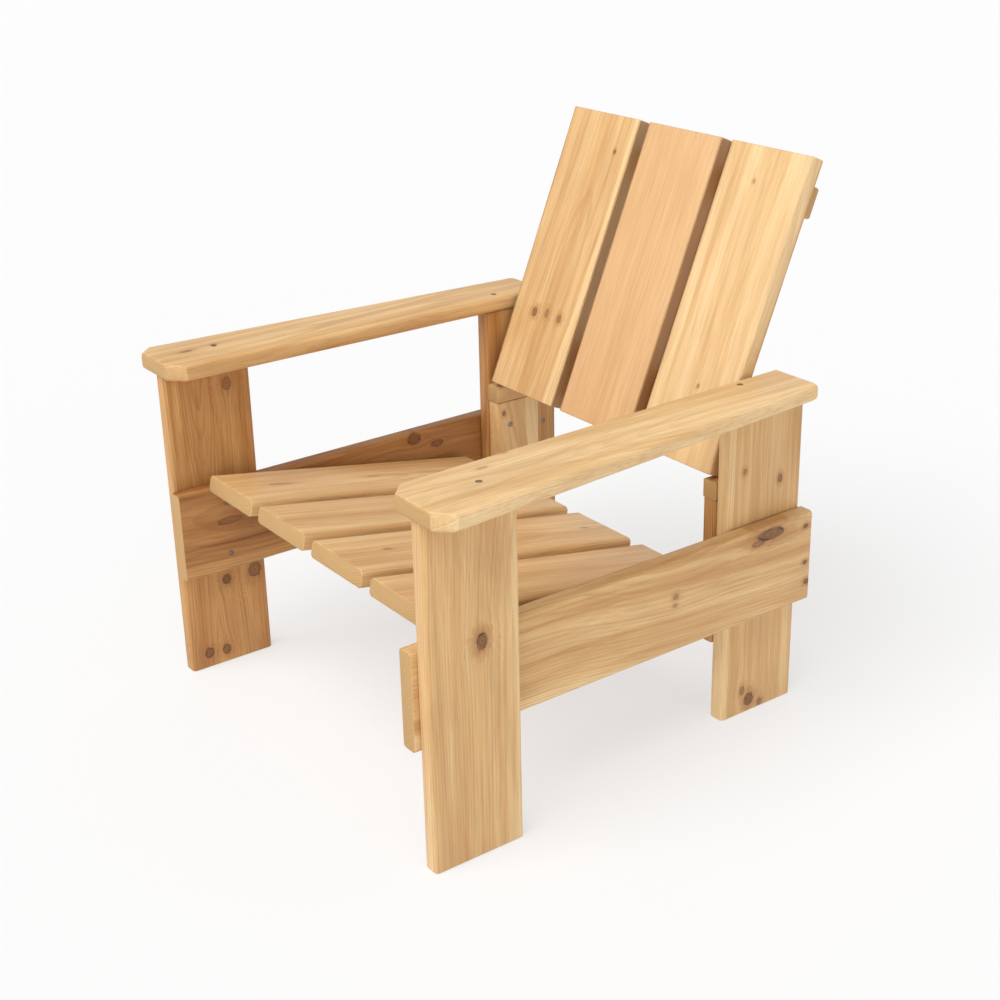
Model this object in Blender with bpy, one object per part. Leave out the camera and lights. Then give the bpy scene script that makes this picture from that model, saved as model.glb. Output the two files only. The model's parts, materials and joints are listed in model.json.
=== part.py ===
"""Low plank armchair for the garden, built from flat cedar boards and wood screws.

Units are metres, +Z is up. The sitter faces -Y, so the sitter's left side is at +X.
The origin is on the ground under the middle of the finished chair. Sizes along Y are first
measured from the front of the front legs. Each side is a sandwich of boards: front leg outermost,
then the side rail, then the rear leg, then a short post inside the rear leg.
"""

import math

import bmesh
import bpy
from mathutils import Matrix, Vector

# Stock sizes.
BOARD_THICKNESS = 0.026        # legs, rails, posts and seat slats
LEG_WIDTH = 0.140              # front and rear legs
RAIL_WIDTH = 0.140             # side rails, standing on edge
ARM_THICKNESS = 0.025
EDGE_RADIUS = 0.006            # eased long edges of every board
ARM_EDGE_RADIUS = 0.009
FIT_GAP = 0.0003               # between boards that touch

# Overall frame.
FRAME_WIDTH = 0.698            # outside face to outside face of the front legs
FRAME_DEPTH = 0.680            # front of the front legs to back of the rear legs
ARM_UNDERSIDE = 0.488          # height of the leg tops
RAIL_UNDERSIDE = 0.168
RAIL_FRONT_OVERHANG = 0.007    # rail end ahead of the front leg

# Armrests: plan sizes measured from the outside face of the front legs.
ARM_INSET_FRONT = 0.071        # inner edge, at the front end
ARM_INSET_REAR = 0.084
ARM_OVERHANG_FRONT = 0.052     # outer edge, at the front end
ARM_OVERHANG_REAR = 0.002
ARM_FRONT_OVERHANG = 0.006
ARM_REAR_SETBACK = 0.026
ARM_CLIP = 0.024               # 45 degree cut on both front corners
ARM_REAR_ROUND = 0.012
ARM_ROUND_STEPS = 3
ARM_SCREW_SETBACK_FRONT = 0.092    # from the front of the front leg
ARM_SCREW_SETBACK_REAR = 0.026     # from the front of the rear leg

# Posts and blocks inside the rear legs.
POST_WIDTH = 0.085
POST_UNDERSIDE = 0.119
BLOCK_BEARING = 0.019          # least length of block behind the foot of the back slats
BLOCK_HEIGHT = 0.028

# Seat.
SEAT_SLATS = 4
SEAT_SLAT_GAP = 0.020
SEAT_SIDE_CLEARANCE = 0.0107   # from the outer slats to the side rails
SEAT_REAR_CLEARANCE = 0.039    # from the slats' ends to the rear legs
SEAT_TILT = math.radians(10.6)
SEAT_FRONT_TOP = Vector((0.0, 0.042, 0.336))
SEAT_BATTEN_HEIGHT = 0.045
SEAT_BATTEN_THICKNESS = 0.026
SEAT_FRONT_BATTEN_AT = 0.125   # along the slats, to the batten's front face
SEAT_REAR_BATTEN_SETBACK = 0.042   # from the slats' rear ends

# Back.
BACK_SLATS = 3
BACK_SLAT_GAP = 0.021
BACK_SIDE_CLEARANCE = 0.0139   # from the outer slats to the rear legs
BACK_SLAT_THICKNESS = 0.024
BACK_LEAN = math.radians(22.8)
BACK_LENGTH = 0.454
BACK_TOP_OVERHANG = 0.033      # top front edge of the slats, behind the rear legs
BACK_TOP_HEIGHT = 0.798
UPPER_BATTEN_AT = 0.036        # down the slats, to the batten's top edge
UPPER_BATTEN_WIDTH = 0.044
UPPER_BATTEN_INSET = 0.008     # batten's ends inside the outer slats' edges
UPPER_BATTEN_THICKNESS = 0.018
LOWER_RAIL_LIFT = 0.014        # rail's lower edge above the foot of the slats
LOWER_RAIL_WIDTH = 0.095
LOWER_RAIL_THICKNESS = 0.020

# Wood screws.
HEAD_RADIUS = 0.0042
HEAD_HEIGHT = 0.0030
SHANK_RADIUS = 0.0022
TIP_LENGTH = 0.0040
HEAD_SINK = 0.0004             # head below the wood's surface
SCREW_SEGMENTS = 10
EDGE_SEGMENTS = 3
ARM_SCREW_LENGTH = 0.060
SIDE_SCREW_LENGTH = 0.046
BACK_SCREW_LENGTH = 0.032
SEAT_SCREW_LENGTH = 0.060

# Places worked out from the sizes above.
SIDE_X = FRAME_WIDTH / 2
FRONT_LEG_X = SIDE_X - BOARD_THICKNESS / 2
RAIL_X = FRONT_LEG_X - BOARD_THICKNESS - FIT_GAP
REAR_LEG_X = RAIL_X - BOARD_THICKNESS - FIT_GAP
POST_X = REAR_LEG_X - BOARD_THICKNESS - FIT_GAP
REAR_LEG_Y = FRAME_DEPTH - LEG_WIDTH
RAIL_LENGTH = FRAME_DEPTH + RAIL_FRONT_OVERHANG
LEG_HEIGHT = ARM_UNDERSIDE - FIT_GAP
RAIL_INNER_X = RAIL_X - BOARD_THICKNESS / 2
REAR_LEG_INNER_X = REAR_LEG_X - BOARD_THICKNESS / 2
BATTEN_SPAN = 2 * (RAIL_INNER_X - FIT_GAP)
SEAT_WIDTH = 2 * (RAIL_INNER_X - SEAT_SIDE_CLEARANCE)
SEAT_SLAT_WIDTH = (SEAT_WIDTH - (SEAT_SLATS - 1) * SEAT_SLAT_GAP) / SEAT_SLATS
SEAT_RUN = REAR_LEG_Y - SEAT_REAR_CLEARANCE - SEAT_FRONT_TOP.y
SEAT_LENGTH = SEAT_RUN / math.cos(SEAT_TILT)
SEAT_REAR_BATTEN_AT = SEAT_LENGTH - SEAT_REAR_BATTEN_SETBACK
BACK_TOP = Vector((0.0, FRAME_DEPTH + BACK_TOP_OVERHANG, BACK_TOP_HEIGHT))
BACK_WIDTH = 2 * (REAR_LEG_INNER_X - BACK_SIDE_CLEARANCE)
BACK_SLAT_WIDTH = (BACK_WIDTH - (BACK_SLATS - 1) * BACK_SLAT_GAP) / BACK_SLATS
LOWER_RAIL_AT = BACK_LENGTH - LOWER_RAIL_LIFT - LOWER_RAIL_WIDTH

CEDAR_LEG = (0.62, 0.39, 0.17)
CEDAR_RAIL = (0.60, 0.37, 0.17)
CEDAR_ARM = (0.70, 0.46, 0.21)
CEDAR_SEAT = (0.64, 0.40, 0.19)
CEDAR_BACK = (0.72, 0.49, 0.24)
CEDAR_ROSE = (0.68, 0.41, 0.21)
CEDAR_DEEP = (0.46, 0.26, 0.11)
ZINC = (0.55, 0.53, 0.48)


def clear_scene():
    """Takes every object out of the file."""
    for obj in list(bpy.data.objects):
        bpy.data.objects.remove(obj, do_unlink=True)


def finish(name, colour, roughness=0.55, metallic=0.0):
    """A plain material for one sub-part."""
    material = bpy.data.materials.new(name)
    material.use_nodes = True
    shader = material.node_tree.nodes["Principled BSDF"]
    shader.inputs["Base Color"].default_value = (*colour, 1.0)
    shader.inputs["Roughness"].default_value = roughness
    shader.inputs["Metallic"].default_value = metallic
    return material


def add_object(name, bm, material):
    """Turns a bmesh into a named object in the scene."""
    mesh = bpy.data.meshes.new(name)
    bm.to_mesh(mesh)
    bm.free()
    mesh.materials.append(material)
    mesh.shade_smooth()
    mesh.set_sharp_from_angle(angle=math.radians(35))
    obj = bpy.data.objects.new(name, mesh)
    bpy.context.scene.collection.objects.link(obj)
    return obj


def board(name, length, width, thickness, material, radius=EDGE_RADIUS):
    """A board along local X, its width along Y and its thickness along Z, centred, long edges rounded."""
    bm = bmesh.new()
    bmesh.ops.create_cube(bm, size=1.0)
    bmesh.ops.scale(bm, vec=(length, width, thickness), verts=bm.verts)
    long_edges = [
        edge for edge in bm.edges
        if abs(edge.verts[0].co.x - edge.verts[1].co.x) > length / 2
    ]
    bmesh.ops.bevel(
        bm,
        geom=long_edges,
        offset=min(radius, thickness * 0.45, width * 0.45),
        segments=EDGE_SEGMENTS,
        profile=0.5,
        affect="EDGES",
    )
    return add_object(name, bm, material)


def place(obj, location, x_axis, y_axis):
    """Moves an object so that its local X and Y point along the given directions."""
    x_dir = Vector(x_axis).normalized()
    z_dir = x_dir.cross(Vector(y_axis)).normalized()
    y_dir = z_dir.cross(x_dir)
    turn = Matrix((x_dir, y_dir, z_dir)).transposed()
    obj.matrix_world = Matrix.Translation(Vector(location)) @ turn.to_4x4()
    return obj


def upright(name, x, y_front, width, bottom, top, colour, thickness=BOARD_THICKNESS):
    """A board standing on end, its wide faces towards the chair's sides."""
    material = finish(name + "_wood", colour)
    obj = board(name, top - bottom, width, thickness, material)
    centre = (x, y_front + width / 2, (top + bottom) / 2)
    return place(obj, centre, (0, 0, 1), (0, 1, 0))


def side_rail(name, side):
    """A long board on edge, between the front and the rear leg of one side."""
    material = finish(name + "_wood", CEDAR_RAIL)
    obj = board(name, RAIL_LENGTH, RAIL_WIDTH, BOARD_THICKNESS, material)
    centre_y = (FRAME_DEPTH - RAIL_FRONT_OVERHANG) / 2
    centre = (side * RAIL_X, centre_y, RAIL_UNDERSIDE + RAIL_WIDTH / 2)
    return place(obj, centre, (0, 1, 0), (0, 0, 1))


def block_top():
    """Height of the blocks: just under the lowest corner of the back slats or of their lower rail."""
    slat_corner = back_point(BACK_LENGTH, BACK_SLAT_THICKNESS)
    rail_corner = back_point(
        BACK_LENGTH - LOWER_RAIL_LIFT, BACK_SLAT_THICKNESS + FIT_GAP + LOWER_RAIL_THICKNESS)
    return min(slat_corner.z, rail_corner.z) - FIT_GAP


def post_front():
    """Y of the posts' front edges: in line with the rear legs, or further forward under the back."""
    return min(REAR_LEG_Y, back_point(BACK_LENGTH, BACK_SLAT_THICKNESS).y - BLOCK_BEARING)


def block(name, side):
    """A short piece laid on the post, under the back."""
    material = finish(name + "_wood", CEDAR_DEEP)
    obj = board(name, POST_WIDTH, BOARD_THICKNESS, BLOCK_HEIGHT, material, radius=0.003)
    centre = (side * POST_X, post_front() + POST_WIDTH / 2, block_top() - BLOCK_HEIGHT / 2)
    return place(obj, centre, (0, 1, 0), (1, 0, 0))


def arm_outline(side):
    """Corners of an armrest seen from above, in order around it."""
    front = -ARM_FRONT_OVERHANG
    rear = FRAME_DEPTH - ARM_REAR_SETBACK
    run = rear - front

    def inner(y):
        return SIDE_X - ARM_INSET_FRONT - (ARM_INSET_REAR - ARM_INSET_FRONT) * (y - front) / run

    def outer(y):
        narrowing = ARM_OVERHANG_FRONT - ARM_OVERHANG_REAR
        return SIDE_X + ARM_OVERHANG_FRONT - narrowing * (y - front) / run

    corners = [
        (inner(front + ARM_CLIP), front + ARM_CLIP),
        (inner(front) + ARM_CLIP, front),
        (outer(front) - ARM_CLIP, front),
        (outer(front + ARM_CLIP), front + ARM_CLIP),
    ]
    centre = Vector((outer(rear) - ARM_REAR_ROUND, rear - ARM_REAR_ROUND))
    for step in range(ARM_ROUND_STEPS + 1):
        angle = math.pi / 2 * step / ARM_ROUND_STEPS
        corners.append((
            centre.x + ARM_REAR_ROUND * math.cos(angle),
            centre.y + ARM_REAR_ROUND * math.sin(angle),
        ))
    corners.append((inner(rear), rear))
    return [Vector((side * x, y, 0.0)) for x, y in corners]


def armrest(name, side):
    """A flat tapered board, clipped at its two front corners, with rounded long edges."""
    bm = bmesh.new()
    verts = [bm.verts.new(point) for point in arm_outline(side)]
    base = bm.faces.new(verts)
    grown = bmesh.ops.extrude_face_region(bm, geom=[base])
    top_verts = [item for item in grown["geom"] if isinstance(item, bmesh.types.BMVert)]
    bmesh.ops.translate(bm, vec=(0.0, 0.0, ARM_THICKNESS), verts=top_verts)
    bmesh.ops.recalc_face_normals(bm, faces=bm.faces)
    long_edges = []
    for edge in bm.edges:
        step = edge.verts[1].co - edge.verts[0].co
        if abs(step.z) < 1e-6 and step.length > FRAME_DEPTH / 2:
            long_edges.append(edge)
    bmesh.ops.bevel(
        bm,
        geom=long_edges,
        offset=min(ARM_EDGE_RADIUS, ARM_THICKNESS * 0.45),
        segments=EDGE_SEGMENTS,
        profile=0.5,
        affect="EDGES",
    )
    obj = add_object(name, bm, finish(name + "_wood", CEDAR_ARM))
    obj.location = (0.0, 0.0, ARM_UNDERSIDE)
    return obj


def seat_point(along, below=0.0, x=0.0):
    """A point of the seat: distance back along the slats, and depth under their top face."""
    back = Vector((0.0, math.cos(SEAT_TILT), -math.sin(SEAT_TILT)))
    down = Vector((0.0, -math.sin(SEAT_TILT), -math.cos(SEAT_TILT)))
    return SEAT_FRONT_TOP + back * along + down * below + Vector((x, 0.0, 0.0))


def back_point(along, behind=0.0, x=0.0):
    """A point of the back: distance down the slats from their top, and depth behind their face."""
    down = Vector((0.0, -math.sin(BACK_LEAN), -math.cos(BACK_LEAN)))
    rearward = Vector((0.0, math.cos(BACK_LEAN), -math.sin(BACK_LEAN)))
    return BACK_TOP + down * along + rearward * behind + Vector((x, 0.0, 0.0))


def row(count, width, gap):
    """Middle positions of equal boards laid side by side about x = 0."""
    pitch = width + gap
    return [(index - (count - 1) / 2) * pitch for index in range(count)]


def seat_slat(index, x):
    """One seat board, running from front to back and sloping down to the rear."""
    name = f"seat_slat_{index}"
    material = finish(name + "_wood", CEDAR_SEAT)
    obj = board(name, SEAT_LENGTH, SEAT_SLAT_WIDTH, BOARD_THICKNESS, material)
    centre = seat_point(SEAT_LENGTH / 2, BOARD_THICKNESS / 2, x)
    return place(obj, centre, seat_point(1.0) - seat_point(0.0), (1, 0, 0))


def seat_batten(name, along):
    """A bearer between the side rails that carries the seat slats."""
    material = finish(name + "_wood", CEDAR_DEEP)
    obj = board(name, BATTEN_SPAN, SEAT_BATTEN_HEIGHT, SEAT_BATTEN_THICKNESS, material, radius=0.003)
    depth = BOARD_THICKNESS + FIT_GAP + SEAT_BATTEN_HEIGHT / 2
    centre = seat_point(along + SEAT_BATTEN_THICKNESS / 2, depth)
    return place(obj, centre, (1, 0, 0), seat_point(0.0, 0.0) - seat_point(0.0, 1.0))


def back_slat(index, x, colour):
    """One leaning back board."""
    name = f"back_slat_{index}"
    material = finish(name + "_wood", colour)
    obj = board(name, BACK_LENGTH, BACK_SLAT_WIDTH, BACK_SLAT_THICKNESS, material, radius=0.004)
    centre = back_point(BACK_LENGTH / 2, BACK_SLAT_THICKNESS / 2, x)
    return place(obj, centre, back_point(0.0) - back_point(1.0), (1, 0, 0))


def back_crosspiece(name, along, width, thickness, span, colour):
    """A board across the rear faces of the back slats."""
    material = finish(name + "_wood", colour)
    obj = board(name, span, width, thickness, material, radius=0.003)
    depth = BACK_SLAT_THICKNESS + FIT_GAP + thickness / 2
    centre = back_point(along + width / 2, depth)
    return place(obj, centre, (1, 0, 0), back_point(0.0) - back_point(1.0))


def turned(name, profile, segments, material):
    """A closed solid of revolution about local Z from (radius, height) pairs, top to bottom."""
    bm = bmesh.new()
    rings = []
    for radius, height in profile:
        if radius == 0.0:
            rings.append([bm.verts.new((0.0, 0.0, height))])
            continue
        ring = []
        for step in range(segments):
            angle = 2 * math.pi * step / segments
            ring.append(bm.verts.new((radius * math.cos(angle), radius * math.sin(angle), height)))
        rings.append(ring)
    for upper, lower in zip(rings, rings[1:]):
        for step in range(segments):
            following = (step + 1) % segments
            if len(upper) == 1:
                bm.faces.new((upper[0], lower[step], lower[following]))
            elif len(lower) == 1:
                bm.faces.new((upper[step], lower[0], upper[following]))
            else:
                bm.faces.new((upper[step], lower[step], lower[following], upper[following]))
    bmesh.ops.recalc_face_normals(bm, faces=bm.faces)
    return add_object(name, bm, material)


def screw_profile(length, grow, rise):
    """Outline of a countersunk screw; grow widens it for a clearance hole, rise opens it upwards."""
    return [
        (0.0, rise),
        (HEAD_RADIUS + grow, rise),
        (HEAD_RADIUS + grow, -HEAD_SINK - grow * 0.5),
        (SHANK_RADIUS + grow, -HEAD_HEIGHT - HEAD_SINK - grow),
        (SHANK_RADIUS + grow, -length + TIP_LENGTH),
        (0.0, -length - grow),
    ]


def drive_screw(name, point, direction, length, boards):
    """Puts a screw into the boards it passes through, each with a clearance hole."""
    inward = Vector(direction).normalized()
    helper = Vector((1, 0, 0)) if abs(inward.x) < 0.9 else Vector((0, 1, 0))
    metal = finish(name + "_steel", ZINC, roughness=0.35, metallic=1.0)
    screw = turned(name, screw_profile(length, 0.0, -HEAD_SINK + 1e-5), SCREW_SEGMENTS, metal)
    cutter = turned(name + "_hole", screw_profile(length, FIT_GAP, 0.002), SCREW_SEGMENTS, metal)
    side_dir = helper.cross(-inward).normalized()
    for obj in (screw, cutter):
        place(obj, point, side_dir, (-inward).cross(side_dir))
    cutter.hide_render = True
    cutter.display_type = "WIRE"
    for wood in boards:
        cut = wood.modifiers.new(name + "_cut", "BOOLEAN")
        cut.operation = "DIFFERENCE"
        cut.object = cutter
    return screw


def build_side(side, label):
    """The boards of one side, with the screws that hold them together."""
    front_leg = upright(
        f"front_leg_{label}", side * FRONT_LEG_X, 0.0, LEG_WIDTH, 0.0, LEG_HEIGHT, CEDAR_LEG)
    rail = side_rail(f"side_rail_{label}", side)
    rear_leg = upright(
        f"rear_leg_{label}", side * REAR_LEG_X, REAR_LEG_Y, LEG_WIDTH, 0.0, LEG_HEIGHT, CEDAR_LEG)
    post_top = block_top() - BLOCK_HEIGHT - FIT_GAP
    post = upright(
        f"rear_post_{label}", side * POST_X, post_front(), POST_WIDTH, POST_UNDERSIDE, post_top,
        CEDAR_DEEP)
    block(f"back_block_{label}", side)
    arm = armrest(f"armrest_{label}", side)

    outward = (side, 0, 0)
    arm_top = ARM_UNDERSIDE + ARM_THICKNESS
    drive_screw(
        f"arm_screw_front_{label}", (side * FRONT_LEG_X, ARM_SCREW_SETBACK_FRONT, arm_top),
        (0, 0, -1), ARM_SCREW_LENGTH, [arm, front_leg])
    drive_screw(
        f"arm_screw_rear_{label}", (side * REAR_LEG_X, REAR_LEG_Y + ARM_SCREW_SETBACK_REAR, arm_top),
        (0, 0, -1), ARM_SCREW_LENGTH, [arm, rear_leg])
    for place_name, share in (("lower", 0.2), ("upper", 0.8)):
        height = RAIL_UNDERSIDE + share * RAIL_WIDTH
        drive_screw(
            f"rail_screw_front_{place_name}_{label}",
            (side * RAIL_INNER_X, LEG_WIDTH / 2, height),
            outward, SIDE_SCREW_LENGTH, [rail, front_leg])
        drive_screw(
            f"rail_screw_rear_{place_name}_{label}",
            (side * REAR_LEG_INNER_X, FRAME_DEPTH - (LEG_WIDTH - POST_WIDTH) / 2, height),
            outward, SIDE_SCREW_LENGTH, [rear_leg, rail])
    post_height = post_top - POST_UNDERSIDE
    lap = post_front() + POST_WIDTH - REAR_LEG_Y
    for place_name, share, across in (("lower", 0.2, 0.6), ("upper", 0.82, 0.3)):
        drive_screw(
            f"post_screw_{place_name}_{label}",
            (
                side * (POST_X - BOARD_THICKNESS / 2),
                REAR_LEG_Y + across * lap,
                POST_UNDERSIDE + share * post_height,
            ),
            outward, SIDE_SCREW_LENGTH, [post, rear_leg])


def build_seat():
    """Four slats on two bearers, screwed from below."""
    places = row(SEAT_SLATS, SEAT_SLAT_WIDTH, SEAT_SLAT_GAP)
    slats = [seat_slat(index + 1, x) for index, x in enumerate(places)]
    upward = seat_point(0.0, 0.0) - seat_point(0.0, 1.0)
    for label, along in (("front", SEAT_FRONT_BATTEN_AT), ("rear", SEAT_REAR_BATTEN_AT)):
        bearer = seat_batten(f"seat_bearer_{label}", along)
        for index, x in enumerate(places):
            under = BOARD_THICKNESS + FIT_GAP + SEAT_BATTEN_HEIGHT
            drive_screw(
                f"seat_screw_{label}_{index + 1}",
                seat_point(along + SEAT_BATTEN_THICKNESS / 2, under, x),
                upward, SEAT_SCREW_LENGTH, [bearer, slats[index]])


def build_back():
    """Three leaning slats on an upper batten and a lower rail, screwed from behind."""
    places = row(BACK_SLATS, BACK_SLAT_WIDTH, BACK_SLAT_GAP)
    colours = (CEDAR_BACK, CEDAR_ROSE, CEDAR_BACK)
    slats = [back_slat(index + 1, x, colours[index]) for index, x in enumerate(places)]
    upper = back_crosspiece(
        "back_upper_batten", UPPER_BATTEN_AT, UPPER_BATTEN_WIDTH, UPPER_BATTEN_THICKNESS,
        BACK_WIDTH - 2 * UPPER_BATTEN_INSET, CEDAR_RAIL)
    lower = back_crosspiece(
        "back_lower_rail", LOWER_RAIL_AT, LOWER_RAIL_WIDTH, LOWER_RAIL_THICKNESS,
        2 * (REAR_LEG_INNER_X - FIT_GAP), CEDAR_DEEP)
    forward = back_point(0.0, 0.0) - back_point(0.0, 1.0)
    rows = (
        ("upper", upper, UPPER_BATTEN_AT + UPPER_BATTEN_WIDTH / 2, UPPER_BATTEN_THICKNESS),
        ("lower", lower, LOWER_RAIL_AT + LOWER_RAIL_WIDTH / 2, LOWER_RAIL_THICKNESS),
    )
    for label, crosspiece, along, thickness in rows:
        behind = BACK_SLAT_THICKNESS + FIT_GAP + thickness
        for index, x in enumerate(places):
            for hand, shift in (("a", -1), ("b", 1)):
                drive_screw(
                    f"back_screw_{label}_{index + 1}{hand}",
                    back_point(along, behind, x + shift * BACK_SLAT_WIDTH / 4),
                    forward, BACK_SCREW_LENGTH, [crosspiece, slats[index]])


def centre_over_origin():
    """Slides the whole chair along Y so that its overall length is centred on the origin."""
    bpy.context.view_layer.update()
    reach = [
        (obj.matrix_world @ Vector(corner)).y
        for obj in bpy.data.objects if not obj.hide_render
        for corner in obj.bound_box
    ]
    middle = (min(reach) + max(reach)) / 2
    for obj in bpy.data.objects:
        obj.location.y -= middle


def main():
    clear_scene()
    for side, label in ((1, "left"), (-1, "right")):
        build_side(side, label)
    build_seat()
    build_back()
    centre_over_origin()


main()
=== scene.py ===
"""Looks of a low garden armchair made of clear-finished cedar planks.

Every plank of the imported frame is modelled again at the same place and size, with rounded arrises,
eased ends and countersunk screw holes, and is given its own length of procedural cedar: growth
rings that run through the solid, sapwood bands, heartwood streaks, knots and end grain.
"""

from __future__ import annotations

import json
import logging
import math
from dataclasses import dataclass, field
from enum import Enum
from typing import Callable, ClassVar, Sequence

import bpy
import numpy as np
from mathutils import Matrix, Vector

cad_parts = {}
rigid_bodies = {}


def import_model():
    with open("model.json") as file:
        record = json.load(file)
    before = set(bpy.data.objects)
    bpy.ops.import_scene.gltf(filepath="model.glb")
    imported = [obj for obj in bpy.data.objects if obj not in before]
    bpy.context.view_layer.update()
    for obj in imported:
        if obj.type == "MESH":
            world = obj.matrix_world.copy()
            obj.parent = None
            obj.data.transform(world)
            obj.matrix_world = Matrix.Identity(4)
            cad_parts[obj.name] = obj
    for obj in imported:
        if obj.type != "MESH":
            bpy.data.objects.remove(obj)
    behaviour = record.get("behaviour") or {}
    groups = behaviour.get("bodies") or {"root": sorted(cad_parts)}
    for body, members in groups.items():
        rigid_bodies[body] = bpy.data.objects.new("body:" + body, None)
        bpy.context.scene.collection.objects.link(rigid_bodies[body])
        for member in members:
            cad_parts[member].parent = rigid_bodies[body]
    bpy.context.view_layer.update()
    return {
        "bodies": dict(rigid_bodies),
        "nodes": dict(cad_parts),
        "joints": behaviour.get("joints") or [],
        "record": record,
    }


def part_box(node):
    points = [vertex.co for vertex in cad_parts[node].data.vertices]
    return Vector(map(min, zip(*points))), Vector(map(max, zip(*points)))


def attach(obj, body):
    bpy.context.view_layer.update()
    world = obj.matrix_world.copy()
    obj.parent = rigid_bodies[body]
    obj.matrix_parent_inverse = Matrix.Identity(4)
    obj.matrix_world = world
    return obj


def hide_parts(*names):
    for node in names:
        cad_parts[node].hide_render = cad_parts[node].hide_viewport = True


LOG = logging.getLogger("plank_armchair")
BODY = "root"
MERGE_DISTANCE = 5e-6      # metres within which two points are one
LEAST_TURN = 1e-10         # square metres that a corner of an outline has to turn by
SQUARE = 0.01              # cosine under which two directions count as square to each other
PARALLEL = 0.9999          # cosine over which they count as the same

Colour = tuple[float, float, float]
Point = tuple[object, object, object]


# ---------------------------------------------------------------- places read from the frame


def nearly_positive(direction: Vector) -> Vector:
    """Turns a direction round where its largest part is negative."""
    largest = max(range(3), key=lambda axis: abs(direction[axis]))
    return direction if direction[largest] > 0 else -direction


@dataclass(frozen=True)
class BoardPlace:
    """Where a plank of the frame lies: its centre, its three directions and its three sizes."""

    centre: Vector
    along: Vector
    across: Vector
    through: Vector
    length: float
    width: float
    thickness: float

    @classmethod
    def of_node(cls, node: bpy.types.Object) -> BoardPlace:
        """Measures a plank from the flat faces of its node.

        Args:
            node: the frame's object for the plank.

        Returns:
            The plank's place, with directions that point up, to the back or to the sitter's left.
        """
        faces = sorted(node.data.polygons, key=lambda face: -face.area)
        through = faces[0].normal.normalized()
        sides = [face for face in faces if abs(face.normal.dot(through)) < SQUARE]
        across = nearly_positive(sides[0].normal.normalized())
        along = nearly_positive(through.cross(across))
        through = along.cross(across)
        points = [vertex.co for vertex in node.data.vertices]
        middle = Vector()
        sizes = []
        for axis in (along, across, through):
            reach = [point.dot(axis) for point in points]
            sizes.append(max(reach) - min(reach))
            middle += axis * (max(reach) + min(reach)) / 2
        return cls(middle, along, across, through, *sizes)

    def matrix(self) -> Matrix:
        """The turn and shift from a plank lying along X at the origin to this place."""
        turn = Matrix((self.along, self.across, self.through)).transposed()
        return Matrix.Translation(self.centre) @ turn.to_4x4()


@dataclass(frozen=True)
class ScrewPlace:
    """Where a screw of the frame sits: the middle of its head, its direction and its sizes."""

    head: Vector
    inward: Vector
    length: float
    head_radius: float

    @classmethod
    def of_node(cls, node: bpy.types.Object) -> ScrewPlace:
        """Measures a screw from the points of its node.

        Args:
            node: the frame's object for the screw.

        Returns:
            The screw's place, with the direction in which it was driven.
        """
        points = np.array([vertex.co for vertex in node.data.vertices])
        middle = points.mean(axis=0)
        spread = points - middle
        axis = np.linalg.eigh(spread.T @ spread)[1][:, -1]
        depth = spread @ axis
        radius = np.linalg.norm(spread - np.outer(depth, axis), axis=1)
        if depth[radius.argmax()] > 0:
            axis, depth = -axis, -depth
        head = middle + axis * depth.min()
        return cls(Vector(head), Vector(axis), float(np.ptp(depth)), float(radius.max()))


# ---------------------------------------------------------------- modelling by operators


def deselect_all() -> None:
    """Leaves nothing selected, so that the next operator acts on one piece only."""
    bpy.ops.object.select_all(action="DESELECT")


def take(piece: bpy.types.Object) -> None:
    """Makes a piece the only selected object and the active one."""
    deselect_all()
    piece.select_set(True)
    bpy.context.view_layer.objects.active = piece


def new_box(name: str, size: Sequence[float], place: Matrix | None = None) -> bpy.types.Object:
    """Adds a box of a given size and applies its scale.

    Args:
        name: the new object's name.
        size: lengths along X, Y and Z in metres.
        place: where the box goes; the origin if left out.

    Returns:
        The new object.
    """
    deselect_all()
    bpy.ops.mesh.primitive_cube_add(size=1.0, location=(0.0, 0.0, 0.0))
    box = bpy.context.object
    box.name = name
    box.data.name = name
    box.scale = size
    bpy.ops.object.transform_apply(location=False, rotation=False, scale=True)
    if place is not None:
        settle(box, place)
    return box


def settle(piece: bpy.types.Object, place: Matrix) -> None:
    """Moves a piece to its place and keeps the place in its mesh, not in its object.

    Args:
        piece: the object to move.
        place: where it goes.
    """
    take(piece)
    piece.matrix_world = place
    bpy.ops.object.transform_apply(location=True, rotation=True, scale=True)


def bevel_edges(
    piece: bpy.types.Object,
    wanted: Callable[[Vector, Vector], bool],
    offset: float,
    segments: int,
) -> None:
    """Rounds the edges of a piece that a test picks.

    Args:
        piece: the object to shape.
        wanted: told the two ends of each edge, says whether to round it.
        offset: width of the rounding in metres.
        segments: number of strips across the rounding.
    """
    take(piece)
    bpy.ops.object.mode_set(mode="EDIT")
    bpy.ops.mesh.select_mode(type="EDGE")
    bpy.ops.mesh.select_all(action="DESELECT")
    bpy.ops.object.mode_set(mode="OBJECT")
    points = piece.data.vertices
    for edge in piece.data.edges:
        first, second = (points[index].co for index in edge.vertices)
        edge.select = wanted(first, second)
    bpy.ops.object.mode_set(mode="EDIT")
    bpy.ops.mesh.bevel(offset=offset, segments=segments, profile=0.5, affect="EDGES")
    bpy.ops.object.mode_set(mode="OBJECT")


def edit_all(piece: bpy.types.Object, operator: Callable[..., object], **settings: object) -> None:
    """Runs one operator on the whole of a piece in edit mode.

    Args:
        piece: the object to shape.
        operator: the mesh operator.
        **settings: what the operator is told.
    """
    take(piece)
    bpy.ops.object.mode_set(mode="EDIT")
    bpy.ops.mesh.select_all(action="SELECT")
    operator(**settings)
    bpy.ops.object.mode_set(mode="OBJECT")


def saw(piece: bpy.types.Object, point: Vector, outward: Vector) -> None:
    """Cuts a closed piece with a plane, drops the part that lies outwards and closes the cut."""
    edit_all(
        piece, bpy.ops.mesh.bisect, plane_co=point, plane_no=outward, use_fill=True, clear_outer=True)


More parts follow.
